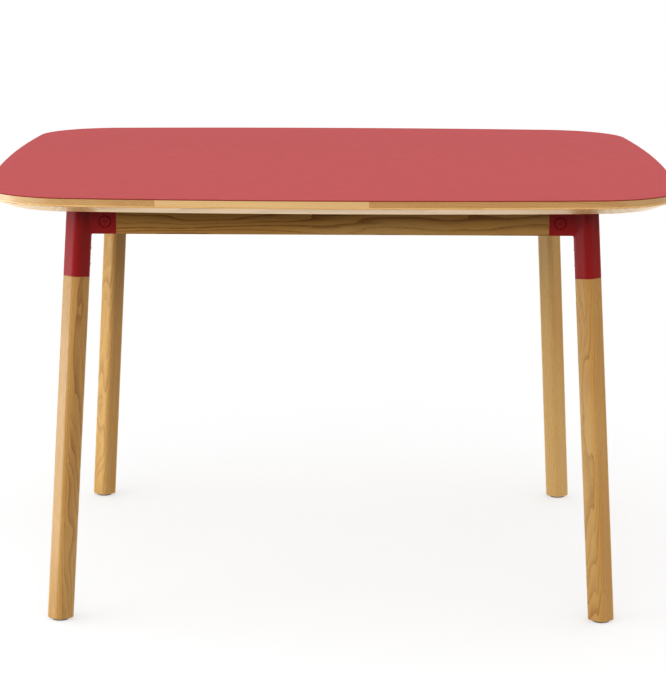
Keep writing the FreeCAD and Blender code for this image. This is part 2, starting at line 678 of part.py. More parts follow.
def makeBracket():
    body = newBody("bracketMaster")
    arms = (("armOne", 1), ("armTwo", -1))
    addSleeve(body)
    for name, hand in arms:
        addArm(body, name, hand)
    addBlock(body)
    easeBracket(body)
    addPlate(body)
    socket = legSketch(body, "legSocket", "sizes.sleeveDrop")
    roundedSquare(socket, "(sizes.legSide - 2 * sizes.sleeveWall)", "(sizes.legCorner - sizes.sleeveWall)")
    pocket(body, socket, socketLength, along=True)
    bolts = boltSketch(body, "legBoltHoles")
    for place in legBoltPlaces:
        circle(bolts, "0", place, "sizes.legBoltShank + 2 * sizes.holeGap")
    pocket(body, bolts, tenonInset, along=True)
    screws = flatSketch(body, "plateHoles", underside)
    for place in plateScrewPlaces:
        circle(screws, *place, screwHole)
    pocket(body, screws, "sizes.plateThick")
    for name, hand in arms:
        cutArm(body, name, hand)
    return repeat(body, [f"bracket_{name}" for name in cornerNames], cornerTurn)


# Hardware, each piece drawn once about its own axis.

def turned(name, profile):
    """Turned piece from a half profile of radius and height pairs."""
    body = newBody(name)
    sketch = newSketch(body, f"{name}Profile", "XZ_Plane")
    polygon(sketch, profile)
    revolve(body, "PartDesign::Revolution", sketch)
    return body


def keySocket(body, height, across, deep):
    """Six-sided key socket sunk into a head."""
    sketch = flatSketch(body, f"{body.Name}Key", height)
    reach = f"{across} / sqrt(3)"
    turns = range(0, 360, 60)
    polygon(sketch, [(f"{reach} * cos({turn})", f"{reach} * sin({turn})") for turn in turns])
    pocket(body, sketch, deep)


def legBoltSeat(place):
    """Seat of a leg bolt on the sleeve's inner flat, with +Z away from the leg."""
    tilt = Rotation(Vector(0, -1, 0), value(splay))
    end = Vector(value(axisAt("sizes.sleeveDrop")), 0, value(f"{underside} - sizes.sleeveDrop"))
    offset = tilt.multVec(Vector(-value("sizes.legSide / 2"), 0, value(place)))
    return Placement(end + offset, tilt.multiply(Rotation(Vector(0, -1, 0), 90)))


def armBoltSeat(hand):
    """Place of an arm's bolt in the middle of the arm, with +Z out of its outer face."""
    along = value(f"{diagonal} * {armBoltPlace}")
    middle = Vector(value(axisTop) - along, hand * along, value(f"{underside} - sizes.armBoltDrop"))
    return Placement(middle, Rotation(upAxis, 45 * hand).multiply(Rotation(Vector(0, 1, 0), 90)))


def uprightSeat(across, along, height):
    return Placement(Vector(value(across), value(along), value(height)), Rotation())


def makeLegHardware():
    """Bolt, washer and threaded insert on one axis, the sleeve's inner flat at zero."""
    seats = [legBoltSeat(place) for place in legBoltPlaces]
    shank = "sizes.legBoltShank / 2"
    hole = f"{shank} + sizes.holeGap"
    seat = "sizes.washerThick"
    head = "sizes.legBoltHead / 2"
    headTop = f"{seat} + sizes.legBoltHeadHigh"
    mouth = f"-{tenonInset}"
    end = f"{mouth} - sizes.insertLength"
    tip = f"{end} + sizes.endGap"
    bolt = turned("legBoltMaster", (
        ("0", tip), (shank, tip), (shank, seat), (head, seat), (head, headTop), ("0", headTop),
    ))
    keySocket(bolt, headTop, "sizes.legKeyWide", "sizes.legKeyDeep")
    edge = "sizes.washerWide / 2"
    washer = turned("legWasherMaster", ((hole, "0"), (edge, "0"), (edge, seat), (hole, seat)))
    wall = "sizes.insertWide / 2"
    insert = turned("legInsertMaster", ((hole, end), (wall, end), (wall, mouth), (hole, mouth)))
    return [
        group("leg_bolts", bolt, seats, cornerTurn),
        group("leg_washers", washer, seats, cornerTurn),
        group("leg_inserts", insert, seats, cornerTurn),
    ]


def makeArmHardware():
    """Flat-headed bolt and sleeve nut on one axis, the middle of the arm at zero."""
    seats = [armBoltSeat(hand) for hand in (1, -1)]
    shank = "sizes.armBoltShank / 2"
    head = "sizes.armBoltHead / 2"
    ease = "sizes.armBoltHeadThick / 2"
    flat = f"{head} - {ease}"
    face = f"({armSeat} + sizes.armBoltHeadThick)"
    tip = f"sizes.endGap - {armSeat}"
    bolt = turned("armBoltMaster", (
        ("0", tip), (shank, tip), (shank, armSeat), (head, armSeat),
        (head, f"{face} - {ease}"), (flat, face), ("0", face),
    ))
    keySocket(bolt, face, "sizes.armKeyWide", "sizes.armKeyDeep")
    barrel = "sizes.nutBarrel / 2"
    hole = f"{shank} + sizes.holeGap"
    mouth = f"{armSeat} - sizes.endGap"
    nut = turned("armNutMaster", (
        ("0", f"-{face}"), (flat, f"-{face}"), (head, f"{ease} - {face}"), (head, f"-{armSeat}"),
        (barrel, f"-{armSeat}"), (barrel, mouth), (hole, mouth), (hole, f"-{armSeat}"), ("0", f"-{armSeat}"),
    ))
    return [group("arm_bolts", bolt, seats, cornerTurn), group("arm_nuts", nut, seats, cornerTurn)]


def makeScrew(name, length):
    """Pan-head wood screw, seat at zero and point upwards."""
    shank = "sizes.screwShank / 2"
    head = "sizes.screwHead / 2"
    soft = "sizes.screwHeadHigh / 2"
    return turned(name, (
        ("0", "-sizes.screwHeadHigh"), (f"{head} - {soft}", "-sizes.screwHeadHigh"), (head, f"-{soft}"),
        (head, "0"), (shank, "0"), (shank, f"{length} - sizes.screwPoint"), ("0", length),
    ))


def makeScrews():
    plateSeats = [uprightSeat(*place, f"{underside} - sizes.plateThick") for place in plateScrewPlaces]
    apronSeats = [uprightSeat(*place, f"{underside} - sizes.apronScrewGrip") for place in apronScrewPlaces]
    plateScrew = makeScrew("plateScrewMaster", "(sizes.plateThick + sizes.plateScrewBite)")
    apronScrew = makeScrew("apronScrewMaster", "(sizes.apronScrewGrip + sizes.apronScrewBite)")
    return [
        group("bracket_screws", plateScrew, plateSeats, cornerTurn),
        group("apron_screws", apronScrew, apronSeats, 0),
    ]


def makeFeet():
    """Round glides under the feet, each held by a sunk nail."""
    foot = uprightSeat(axisAt(underside), "0", "0")
    edge = "sizes.glideWide / 2"
    well = "sizes.nailHead / 2 + sizes.holeGap"
    hole = "sizes.nailShank / 2 + sizes.holeGap"
    glide = turned("glideMaster", (
        (well, "0"), (f"{edge} - sizes.glideEase", "0"), (edge, "sizes.glideEase"),
        (edge, "sizes.glideThick"), (hole, "sizes.glideThick"), (hole, nailSeat), (well, nailSeat),
    ))
    head = "sizes.nailHead / 2"
    shank = "sizes.nailShank / 2"
    nail = turned("glideNailMaster", (
        ("0", "sizes.nailSink"), (head, "sizes.nailSink"), (head, nailSeat),
        (shank, nailSeat), (shank, f"{nailTip} - sizes.nailShank"), ("0", nailTip),
    ))
    glides = repeat(glide, [f"glide_{name}" for name in cornerNames], cornerTurn, foot)
    return [*glides, group("glide_nails", nail, [foot], cornerTurn)]


def makeTable():
    """Every sub-part of the table."""
    return [
        makeLinoleum(), makeCore(), makeBacking(), *makeRim(), *makeApron(), *makeBracket(), *makeLeg(),
        *makeFeet(), *makeLegHardware(), *makeArmHardware(), *makeScrews(),
    ]


def check(subparts):
    """Stop on a failed object or a sub-part with no sound solid."""
    failed = [item.Name for item in doc.Objects if {"Invalid", "Error"} & set(item.State)]
    if failed:
        raise RuntimeError(f"failed objects {failed}")
    unsound = [item.Label for item in subparts if item.Shape.isNull() or not item.Shape.isValid()]
    if unsound:
        raise RuntimeError(f"unsound sub-parts {unsound}")


def write(subparts):
    os.makedirs("parts", exist_ok=True)
    for item in subparts:
        item.Shape.exportStep(f"parts/{item.Label}.step")
        print(f"{item.Label}: {len(item.Shape.Solids)} solids, {item.Shape.Volume / 1000:.2f} cm3")


subparts = makeTable()
doc.recompute()
check(subparts)
write(subparts)
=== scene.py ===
import itertools
import math

import bpy
from mathutils import Matrix, Vector


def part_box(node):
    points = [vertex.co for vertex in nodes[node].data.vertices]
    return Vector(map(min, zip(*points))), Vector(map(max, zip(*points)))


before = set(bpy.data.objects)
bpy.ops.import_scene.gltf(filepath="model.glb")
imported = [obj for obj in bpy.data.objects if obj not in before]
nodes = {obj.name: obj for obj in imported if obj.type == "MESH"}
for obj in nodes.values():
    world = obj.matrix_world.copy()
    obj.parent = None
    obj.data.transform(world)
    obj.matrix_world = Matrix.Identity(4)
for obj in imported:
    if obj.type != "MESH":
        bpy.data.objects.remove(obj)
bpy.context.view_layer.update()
print("frame:", len(nodes), "pieces")

sides = ("front", "right", "back", "left")
corners = ("front_right", "back_right", "back_left", "front_left")


# shader maths: a wire is one output socket, and sums and products of wires add Math nodes
class Wire:
    def __init__(self, socket):
        self.socket = socket
        self.tree = socket.id_data

    # any node of the same tree: its settings first, then the values or links of its sockets
    def node(self, kind, settings, sockets, output=0):
        made = self.tree.nodes.new("ShaderNode" + kind)
        for name, setting in settings.items():
            setattr(made, name, setting)
        for name, value in sockets.items():
            if isinstance(value, Wire):
                self.tree.links.new(value.socket, made.inputs[name])
            else:
                made.inputs[name].default_value = value
        return Wire(made.outputs[output]) if made.outputs else None

    def math(self, operation, *others):
        return self.node("Math", {"operation": operation}, dict(enumerate((self, *others))))

    # the same with this wire as the second value
    def mathAfter(self, operation, first):
        return self.node("Math", {"operation": operation}, {0: first, 1: self})

    def __add__(self, other):
        return self.math("ADD", other)

    def __sub__(self, other):
        return self.math("SUBTRACT", other)

    def __mul__(self, other):
        return self.math("MULTIPLY", other)

    def __truediv__(self, other):
        return self.math("DIVIDE", other)

    def __pow__(self, other):
        return self.math("POWER", other)

    __radd__ = __add__
    __rmul__ = __mul__

    def __rsub__(self, other):
        return self.mathAfter("SUBTRACT", other)

    def __rtruediv__(self, other):
        return self.mathAfter("DIVIDE", other)

    def __rpow__(self, other):
        return self.mathAfter("POWER", other)

    # 0 below the first value, 1 above the second, a soft step between
    def step(self, low, high):
        return self.node("MapRange", {"interpolation_type": "SMOOTHSTEP"}, {"Value": self, 1: low, 2: high})

    # one coordinate of a vector
    def axis(self, number):
        return self.node("SeparateXYZ", {}, {"Vector": self}, number)

    # three values of the same tree as a vector
    def vector(self, x, y, z):
        return self.node("CombineXYZ", {}, {0: x, 1: y, 2: z})

    # a vector, stretched differently along its three axes
    def stretch(self, x, y, z):
        return self.node("VectorMath", {"operation": "MULTIPLY"}, {0: self, 1: (x, y, z)})

    # a colour or vector times a value
    def times(self, value):
        return self.node("VectorMath", {"operation": "SCALE"}, {0: self, "Scale": value})

    # noise from 0 to 1 at this place
    def noise(self, scale=1.0, detail=1.0, roughness=0.5):
        sockets = {"Vector": self, "Scale": scale, "Detail": detail, "Roughness": roughness}
        return self.node("TexNoise", {}, sockets)

    # noise drawn out along x: how often it changes per metre along x and across it
    def fibres(self, along, across, detail=2.0):
        return self.stretch(along, across, across).noise(detail=detail)

    # this value as the share of the second colour in the first
    def between(self, first, second):
        return self.node("Mix", {"data_type": "RGBA"}, {0: self, 6: first, 7: second}, 2)

    # this value as relief, its depth in metres
    def bump(self, depth, strength):
        return self.node("Bump", {}, {"Strength": strength, "Distance": depth, "Height": self})


# a new material with nothing in it but the place on the piece
def newFinish(name):
    finish = bpy.data.materials.new(name)
    finish.use_nodes = True
    finish.node_tree.nodes.clear()
    return finish, Wire(finish.node_tree.nodes.new("ShaderNodeTexCoord").outputs["Object"])


# the finish's shader, and the finish on its pieces
def dress(finish, place, sockets, pieces):
    surface = place.node("BsdfPrincipled", {}, sockets)
    place.node("OutputMaterial", {}, {"Surface": surface})
    for name in pieces:
        nodes[name].data.materials.clear()
        nodes[name].data.materials.append(finish)


# Oak: rings round a pith that runs beside the piece, so each face shows the cut it really has.
# Early wood starts each ring dark and full of pores and fades into pale late wood.
# ripple, drift, streaks, bands, pores and rays are changes per metre, along the grain first.
oak = {
    "late": (0.640, 0.370, 0.145, 1),
    "early": (0.400, 0.188, 0.062, 1),
    "pore": (0.210, 0.092, 0.030, 1),
    "ray": (0.700, 0.450, 0.205, 1),
    "sap": (0.740, 0.530, 0.300, 1),      # colour that the paler boards go towards
    "treeStep": (1.37, 0.61, 0.83),       # metres in the wood from one piece's place to the next
    "ripple": (9, 110),
    "rippleSize": 0.0016,       # fine waviness of the rings, metres
    "fade": 2.2,                # how fast early wood ends within its ring
    "ringEarly": 0.34,          # least share of early wood where a ring starts
    "ringSpread": 0.55,         # how much more the darkest rings have
    "drift": (2.0, 9),          # slow change of tone
    "driftTone": (0.86, 0.26),  # darkest tone, and how much paler it gets
    "driftEdge": (0.46, 0.72),  # where the slow change turns pale
    "streaks": (5, 330),
    "bands": (3, 70),
    "streakShare": 0.30,
    "bandShare": 0.65,
    "evenShare": 0.3,           # share of early wood that stays when the figure is made bolder
    "pores": (90, 1900),
    "poreEdge": (0.56, 0.70),   # where noise turns into a pore
    "lateLeast": 0.15,          # pores of the late wood, against those of the early wood
    "rays": (34, 75, 620),      # along the grain, out from the pith and round it
    "rayEdge": (0.60, 0.74),
    "paleShare": 0.42,
    "rayShare": 0.32,
    "poreShare": 0.62,
    "roughness": 0.40,
    "poreRoughness": 0.16,
    "streakRoughness": 0.10,
    "lacquerRoughness": 0.30,
    "poreDepth": 0.00012,
    "streakHeight": 0.25,       # against the depth of the pores
}
trees = itertools.count(13)     # each piece is cut at another place in the wood


# the piece's own place, its grain along x
def alongGrain(place, centre, direction):
    turn = Vector(direction).to_track_quat("X", "Z").to_euler()
    return place.node("Mapping", {"vector_type": "TEXTURE"},
                      {"Vector": place, "Location": centre, "Rotation": turn})


# one of the oak's colours, shifted towards sapwood and made darker or paler for one board
def boardColour(which, family, tone, sap):
    mixed = Vector(oak[which][:3]).lerp(Vector(oak["sap"][:3]), sap) * tone
    return (*(mixed * Vector(family["tint"])), 1)


# family is the dictionary of the pieces that this one belongs to
def oakFinish(name, family, direction, pith, tone, sap):
    finish, place = newFinish("oak_" + name)
    low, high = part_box(name)
    wood = alongGrain(place, (low + high) / 2, direction)
    along = wood.axis(0)
    across = wood.axis(1) - pith[0]
    deep = wood.axis(2) - pith[1]
    tree = next(trees)
    shift = [tree * step for step in oak["treeStep"]]
    grown = wood.node("VectorMath", {"operation": "ADD"}, {0: wood, 1: shift})

    wander = grown.fibres(*family["wander"]) - 0.5
    ripple = grown.fibres(*oak["ripple"]) - 0.5
    radius = (across * across + deep * deep) ** 0.5 + wander * family["wanderSize"]
    radius = radius + ripple * oak["rippleSize"] + along * family["slope"]
    arc = deep.math("ARCTAN2", across) * math.hypot(*pith)
    ring = radius / family["ring"]
    ringNumber = ring.math("FLOOR")
    ringTone = ringNumber.node("TexWhiteNoise", {"noise_dimensions": "1D"}, {"W": ringNumber})
    spring = (1 - ring.math("FRACT")) ** oak["fade"]
    drift = grown.fibres(*oak["drift"], detail=1.0)

    # pores are short dark dashes along the grain, most of them in the early wood
    poreAlong, poreAcross = oak["pores"]
    dashes = along.vector(along * poreAlong, radius * poreAcross, arc * poreAcross)
    pores = dashes.noise().step(*oak["poreEdge"]) * (spring * (1 - oak["lateLeast"]) + oak["lateLeast"])
    # rays are thin sheets out from the pith, pale flecks where a face lies along them
    rayAlong, rayOut, rayRound = oak["rays"]
    sheets = along.vector(along * rayAlong, radius * rayOut, arc * rayRound)
    rays = sheets.noise().step(*oak["rayEdge"])
    # soft streaks along the grain, fine and broad
    streaks = grown.fibres(*oak["streaks"])
    bands = grown.fibres(*oak["bands"])

    share = spring * (ringTone * oak["ringSpread"] + oak["ringEarly"])
    share = share + (streaks - 0.5) * oak["streakShare"] + (bands - 0.5) * oak["bandShare"]
    share = (share - oak["evenShare"]) * family["figure"] + oak["evenShare"]
    late, early, ray, pore, pale = (boardColour(which, family, tone, sap)
                                    for which in ("late", "early", "ray", "pore", "sap"))
    colour = share.between(late, early)
    colour = (drift.step(*oak["driftEdge"]) * oak["paleShare"]).between(colour, pale)
    colour = (rays * oak["rayShare"]).between(colour, ray)
    colour = (pores * oak["poreShare"]).between(colour, pore)
    darkest, paler = oak["driftTone"]
    rough = oak["roughness"] + pores * oak["poreRoughness"] + (streaks - 0.5) * oak["streakRoughness"]
    relief = pores * -1 + streaks * oak["streakHeight"]
    dress(finish, place, {
        "Base Color": colour.times(drift * paler + darkest),
        "Roughness": rough,
        "Normal": relief.bump(oak["poreDepth"], strength=0.6),
        "Specular IOR Level": family["sheen"],
        "Specular Tint": family["sheenTint"],
        "Coat Weight": family["lacquer"],
        "Coat Roughness": oak["lacquerRoughness"],
    }, [name])


# the way a piece of the first side or corner runs, on each of the four
def turned(direction, turn):
    return Matrix.Rotation(turn * math.pi / 2, 3, "Z") @ Vector(direction)


# rim pieces: straight ones run along their side, corner pieces across the corner;
# each has a tone and a share of sapwood, from the front side or the front right corner round to the left
rim = {
    "boards": {
        "upper_SIDE_middle": ((0.745, 0.66), (0.86, 0.10), (0.90, 0.30), (0.80, 0.05)),
        "upper_SIDE_end": ((0.62, 0.00), (0.88, 0.20), (0.80, 0.00), (0.84, 0.35)),
        "upper_corner_CORNER": ((0.59, 0.00), (0.82, 0.15), (0.78, 0.05), (0.65, 0.12)),
        # the lower layer is set paler than the upper: partly its boards' own tone, partly painted light
        # standing in for the floor's light on its bevel, which faces down
        "lower_SIDE": ((0.96, 0.20), (0.92, 0.10), (0.98, 0.25), (0.94, 0.15)),
        "lower_corner_CORNER": ((1.00, 0.30), (0.96, 0.20), (0.92, 0.10), (0.98, 0.25)),
    },
    # where the pith lies beside the piece, across and above
    "middlePith": ((-0.045, 0.090), (0.020, 0.120), (0.060, 0.095), (0.030, -0.110)),
    "sidePith": ((0.020, 0.120), (0.060, 0.095), (0.030, -0.110), (-0.045, 0.090)),
    "cornerPith": ((0.004, 0.140), (-0.006, -0.125), (0.005, -0.135), (0.003, 0.120)),
    "ring": 0.0034,             # metres from one ring to the next
    "wander": (2.4, 16),        # how often rings leave their circles, along and across the grain
    "wanderSize": 0.010,        # how far, metres
    "slope": 0.004,             # how much the rings lean along the piece
    "figure": 1.4,              # contrast between late and early wood
    "tint": (1.00, 0.98, 0.86),
    "sheen": 0.62,              # specular level of the wood under its lacquer
    "sheenTint": (1.00, 0.89, 0.72, 1),
    "lacquer": 0.16,
}
for pattern, boards in rim["boards"].items():
    if "CORNER" in pattern:
        run, piths = (1, 1, 0), rim["cornerPith"]
    elif "middle" in pattern:
        run, piths = (1, 0, 0), rim["middlePith"]
    else:
        run, piths = (1, 0, 0), rim["sidePith"]
    for turn, (tone, sap) in enumerate(boards):
        name = "rim_" + pattern.replace("SIDE", sides[turn]).replace("CORNER", corners[turn])
        oakFinish(name, rim, turned(run, turn), piths[turn], tone, sap)
print("rim pieces dressed")

# aprons run along their sides; their boards are set dark, partly the oak's own tone, partly painted shade
# standing in for the shade under the top
apron = {
    "boards": ((0.65, 0.00), (0.68, 0.05), (0.70, 0.00), (0.66, 0.05)),
    "pith": ((0.050, 0.030), (-0.050, 0.034), (0.055, -0.030), (0.050, 0.036)),
    "ring": 0.0048,
    "wander": (3.6, 20),
    "wanderSize": 0.034,
    "slope": 0.014,
    "figure": 2.2,
    "tint": (0.98, 1.00, 0.84),
    "sheen": 0.08,
    "sheenTint": (1.00, 0.92, 0.80, 1),
    "lacquer": 0.00,
}
for turn, (tone, sap) in enumerate(apron["boards"]):
    oakFinish(f"apron_{sides[turn]}", apron, turned((1, 0, 0), turn), apron["pith"][turn], tone, sap)
print("aprons dressed")

# legs lean out along the table's diagonals
leg = {
    "lean": 0.0382,             # how far a foot stands out from the leg's top, along x and y
    "rise": 0.717,
    # board tones are set leg by leg against how each leg is lit: partly the oak's own tone, partly painted
    # shade, darkest on the front left leg, whose inner side sits in the top's shade
    "boards": ((0.72, 0.02), (0.82, 0.05), (0.82, 0.08), (0.67, 0.02)),
    "pith": ((-0.034, 0.006), (0.030, 0.026), (0.036, -0.008), (0.033, 0.007)),
    "ring": 0.0029,
    "wander": (4.2, 9),
    "wanderSize": 0.030,
    "slope": 0.026,
    "figure": 1.0,
    "tint": (0.98, 0.99, 0.84),
    "sheen": 0.26,
    "sheenTint": (1.00, 0.92, 0.80, 1),
    "lacquer": 0.06,
}
for turn, (tone, sap) in enumerate(leg["boards"]):
    up = turned((-leg["lean"], leg["lean"], leg["rise"]), turn)
    oakFinish(f"leg_{corners[turn]}", leg, up, leg["pith"][turn], tone, sap)
print("legs dressed")

# furniture linoleum: one even colour with a fine cloudy grain, matt, with a faint tooth
linoleum = {
    "colour": (0.445, 0.068, 0.071, 1),
    "cloud": (0.416, 0.060, 0.063, 1),
    "speck": (0.480, 0.082, 0.084, 1),
    "edge": (0.190, 0.036, 0.020, 1),     # brown body that shows where the sheet is cut
    "top": 0.744,
    "skin": 0.0003,             # depth of the coloured face
    "clouds": 38,               # clouds, specks, grain and tooth per metre
    "specks": 420,
    "grain": 1400,
    "tooth": 260,
    "cloudEdge": (0.36, 0.66),  # where noise turns into a cloud or a speck
    "speckEdge": (0.66, 0.78),
    "cloudShare": 0.5,
    "grainShare": 0.3,
    "speckShare": 0.22,
    "roughness": 0.66,
    "grainRoughness": 0.12,
    "gloss": 0.22,
    "toothDepth": 0.00006,
    "grainTooth": 0.6,          # share of the grain in the tooth
}


def linoleumFinish():
    finish, place = newFinish("linoleum")
    clouds = place.noise(linoleum["clouds"], detail=4.0, roughness=0.62).step(*linoleum["cloudEdge"])
    grain = place.noise(linoleum["grain"], detail=2.0)
    specks = place.noise(linoleum["specks"]).step(*linoleum["speckEdge"])
    cloudy = clouds * linoleum["cloudShare"] + grain * linoleum["grainShare"]
    colour = cloudy.between(linoleum["colour"], linoleum["cloud"])
    colour = (specks * linoleum["speckShare"]).between(colour, linoleum["speck"])
    faceAbove = linoleum["top"] - linoleum["skin"]
    cut = 1 - place.axis(2).step(faceAbove - linoleum["skin"], faceAbove)
    coarse = place.noise(linoleum["tooth"], detail=2.0)
    tooth = grain * linoleum["grainTooth"] + coarse * (1 - linoleum["grainTooth"])
    dress(finish, place, {
        "Base Color": cut.between(colour, linoleum["edge"]),
        "Roughness": linoleum["roughness"] + (grain - 0.5) * linoleum["grainRoughness"],
        "Specular IOR Level": linoleum["gloss"],
        "Normal": tooth.bump(linoleum["toothDepth"], strength=0.5),
    }, ["top_linoleum"])


linoleumFinish()

# leaves of veneer under the top, side by side, the rings of each arched about its middle
backing = {
    "late": (0.500, 0.310, 0.145, 1),
    "early": (0.370, 0.205, 0.082, 1),
    "pore": (0.180, 0.090, 0.036, 1),
    "leaf": 0.150,              # width of a leaf, metres
    "ring": 0.0140,             # a flat cut spreads the rings out
    "arch": 0.16,               # how steeply the rings arch across a leaf
    "wander": (1.6, 3.2, 3.7),  # changes per metre along, per leaf across, and from leaf to leaf
    "wanderSize": 0.075,
    "fade": 2.0,
    "pores": (80, 1800),        # dashes per metre, along and across
    "poreEdge": (0.56, 0.70),
    "lateLeast": 0.2,
    "seam": (0.4955, 0.4985),   # edge of a leaf, in leaf widths from its middle
    "earlyShare": 0.7,
    "poreShare": 0.6,
    "seamShare": 0.4,
    "leafTone": (0.90, 0.16),   # darkest leaf, and how much paler others are
    "roughness": 0.48,
    "poreRoughness": 0.15,
    "poreDepth": 0.0001,
    "lacquer": 0.15,
    "lacquerRoughness": 0.35,
}


def backingFinish():
    finish, place = newFinish("backing_veneer")
    along = place.axis(0)
    across = place.axis(1)
    leafRun = across / backing["leaf"]
    leafNumber = leafRun.math("FLOOR")
    tone = leafNumber.node("TexWhiteNoise", {"noise_dimensions": "1D"}, {"W": leafNumber})
    fromMiddle = (leafRun.math("FRACT") - 0.5).math("ABSOLUTE")
    wanderAlong, wanderAcross, leafStep = backing["wander"]
    spot = along.vector(along * wanderAlong, fromMiddle * wanderAcross, leafNumber * leafStep)
    wander = spot.noise(detail=2.0)
    ring = (fromMiddle * fromMiddle * backing["arch"] + wander * backing["wanderSize"]) / backing["ring"]
    early = (1 - ring.math("FRACT")) ** backing["fade"]
    poreAlong, poreAcross = backing["pores"]
    dashes = along.vector(along * poreAlong, across * poreAcross, leafNumber)
    fullness = early * (1 - backing["lateLeast"]) + backing["lateLeast"]
    pores = dashes.noise().step(*backing["poreEdge"]) * fullness
    seam = fromMiddle.step(*backing["seam"])
    colour = (early * backing["earlyShare"]).between(backing["late"], backing["early"])
    dark = pores * backing["poreShare"] + seam * backing["seamShare"]
    colour = dark.between(colour, backing["pore"])
    darkest, paler = backing["leafTone"]
    dress(finish, place, {
        "Base Color": colour.times(tone * paler + darkest),
        "Roughness": backing["roughness"] + pores * backing["poreRoughness"],
        "Normal": (pores * -1).bump(backing["poreDepth"], strength=0.5),
        "Coat Weight": backing["lacquer"],
        "Coat Roughness": backing["lacquerRoughness"],
    }, ["top_backing"])


backingFinish()

# board of pressed chips
board = {
    "pale": (0.470, 0.345, 0.205, 1),
    "dark": (0.300, 0.205, 0.110, 1),
    "chips": (160, 160, 480),   # per metre, flat in the board
    "roughness": 0.75,
    "darkRoughness": 0.1,
    "chipDepth": 0.0004,
}


def boardFinish():
    finish, place = newFinish("core_board")
    spot = place.stretch(*board["chips"])
    tone = place.node("TexVoronoi", {}, {"Vector": spot, "Scale": 1.0}, "Color").axis(0)
    dress(finish, place, {
        "Base Color": tone.between(board["pale"], board["dark"]),
        "Roughness": board["roughness"] + tone * board["darkRoughness"],
        "Normal": tone.bump(board["chipDepth"], strength=0.6),
    }, ["top_core"])


boardFinish()

# plies of the loose tongues
ply = {
    "pale": (0.60, 0.45, 0.27, 1),
    "dark": (0.38, 0.25, 0.12, 1),
    "pairs": 720,               # pale and dark plies, pairs per metre of height
    "pairEdge": (0.42, 0.58),   # where a pair turns from pale to dark
    "fibre": (60, 60, 1500),    # changes per metre
    "plyShare": 0.5,
    "fibreShare": 0.4,
    "roughness": 0.66,
    "fibreRoughness": 0.1,
    "fibreDepth": 0.0002,
}


def plyFinish():
    finish, place = newFinish("tongue_ply")
    plies = (place.axis(2) * ply["pairs"]).math("FRACT").step(*ply["pairEdge"])
    fibre = place.stretch(*ply["fibre"]).noise(detail=2.0)
    dark = plies * ply["plyShare"] + fibre * ply["fibreShare"]
    dress(finish, place, {
        "Base Color": dark.between(ply["pale"], ply["dark"]),
        "Roughness": ply["roughness"] + fibre * ply["fibreRoughness"],
        "Normal": fibre.bump(ply["fibreDepth"], strength=0.4),
    }, [f"rim_tongue_{corner}" for corner in corners])


plyFinish()
print("top dressed")

# brackets: dyed moulding with a fine eroded skin, a little smoother where hands and cloths rub;
# the bolts in their arms are coated in the same red
bracket = {
    "colour": (0.255, 0.0074, 0.0080, 1),
    "deep": (0.226, 0.0059, 0.0065, 1),
    "skin": 2600,               # grains of the skin, flow marks and rubbed places per metre
    "flow": (14, 14, 5),
    "rubbed": 55,
    "rubbedEdge": (0.45, 0.75),
    "flowShare": 0.6,           # shares in the deeper red
    "skinShare": 0.25,
    "mouldedRoughness": 0.40,
    "coatedRoughness": 0.42,
    "skinRoughness": 0.16,
    "rubbedSmoother": 0.06,
    "gloss": 0.185,
    "skinDepth": 0.00005,
}


def bracketFinish(name, pieces, roughness):
    finish, place = newFinish(name)
    skin = place.noise(bracket["skin"], detail=3.0, roughness=0.6)
    flow = place.stretch(*bracket["flow"]).noise(detail=3.0)
    rubbed = place.noise(bracket["rubbed"], detail=3.0, roughness=0.6).step(*bracket["rubbedEdge"])
    deeper = flow * bracket["flowShare"] + skin * bracket["skinShare"]
    rough = roughness + (skin - 0.5) * bracket["skinRoughness"] - rubbed * bracket["rubbedSmoother"]
    dress(finish, place, {
        "Base Color": deeper.between(bracket["colour"], bracket["deep"]),
        "Roughness": rough,
        "Normal": skin.bump(bracket["skinDepth"], strength=0.5),
        "Specular IOR Level": bracket["gloss"],
    }, pieces)


bracketFinish("red_moulding", [f"bracket_{corner}" for corner in corners], bracket["mouldedRoughness"])
bracketFinish("red_coating", ["arm_bolts", "arm_nuts"], bracket["coatedRoughness"])
print("brackets dressed")

# bolts, washers, screws, nails and inserts: metal with a brushed, slightly clouded skin
metal = {
    "zinc": ((0.600, 0.610, 0.600, 1), (0.430, 0.440, 0.440, 1), 0.33),     # bright, dull, roughness
    "brass": ((0.720, 0.520, 0.210, 1), (0.520, 0.345, 0.120, 1), 0.30),
    "clouds": 210,              # clouds and brush marks per metre
    "brush": (400, 400, 6000),
    "cloudShare": 0.8,          # share of the dull colour in a cloud
    "cloudRoughness": 0.14,
    "brushRoughness": 0.12,
    "brushDepth": 0.00003,
}


def metalFinish(name, kind, pieces):
    finish, place = newFinish(name)
    bright, dull, roughness = metal[kind]
    clouds = place.noise(metal["clouds"], detail=4.0, roughness=0.6)
    brushed = place.stretch(*metal["brush"]).noise(detail=2.0)
    rough = roughness + clouds * metal["cloudRoughness"] + (brushed - 0.5) * metal["brushRoughness"]
    dress(finish, place, {
        "Base Color": (clouds * metal["cloudShare"]).between(bright, dull),
        "Metallic": 1.0,
        "Roughness": rough,
        "Normal": brushed.bump(metal["brushDepth"], strength=0.4),
    }, pieces)


metalFinish("zinc_plate", "zinc",
            ["leg_bolts", "leg_washers", "bracket_screws", "apron_screws", "glide_nails"])
metalFinish("insert_brass", "brass", ["leg_inserts"])

# glides: dark plastic, scuffed paler by the floor
glide = {
    "colour": (0.040, 0.036, 0.033, 1),
    "scuff": (0.110, 0.100, 0.090, 1),
    "scuffs": (70, 380, 380),   # scuffs and grain per metre
    "scuffEdge": (0.55, 0.75),
    "grain": 1800,
    "scuffShare": 0.5,
    "roughness": 0.46,
    "scuffRoughness": 0.2,
    "grainRoughness": 0.1,
    "grainDepth": 0.00005,
}


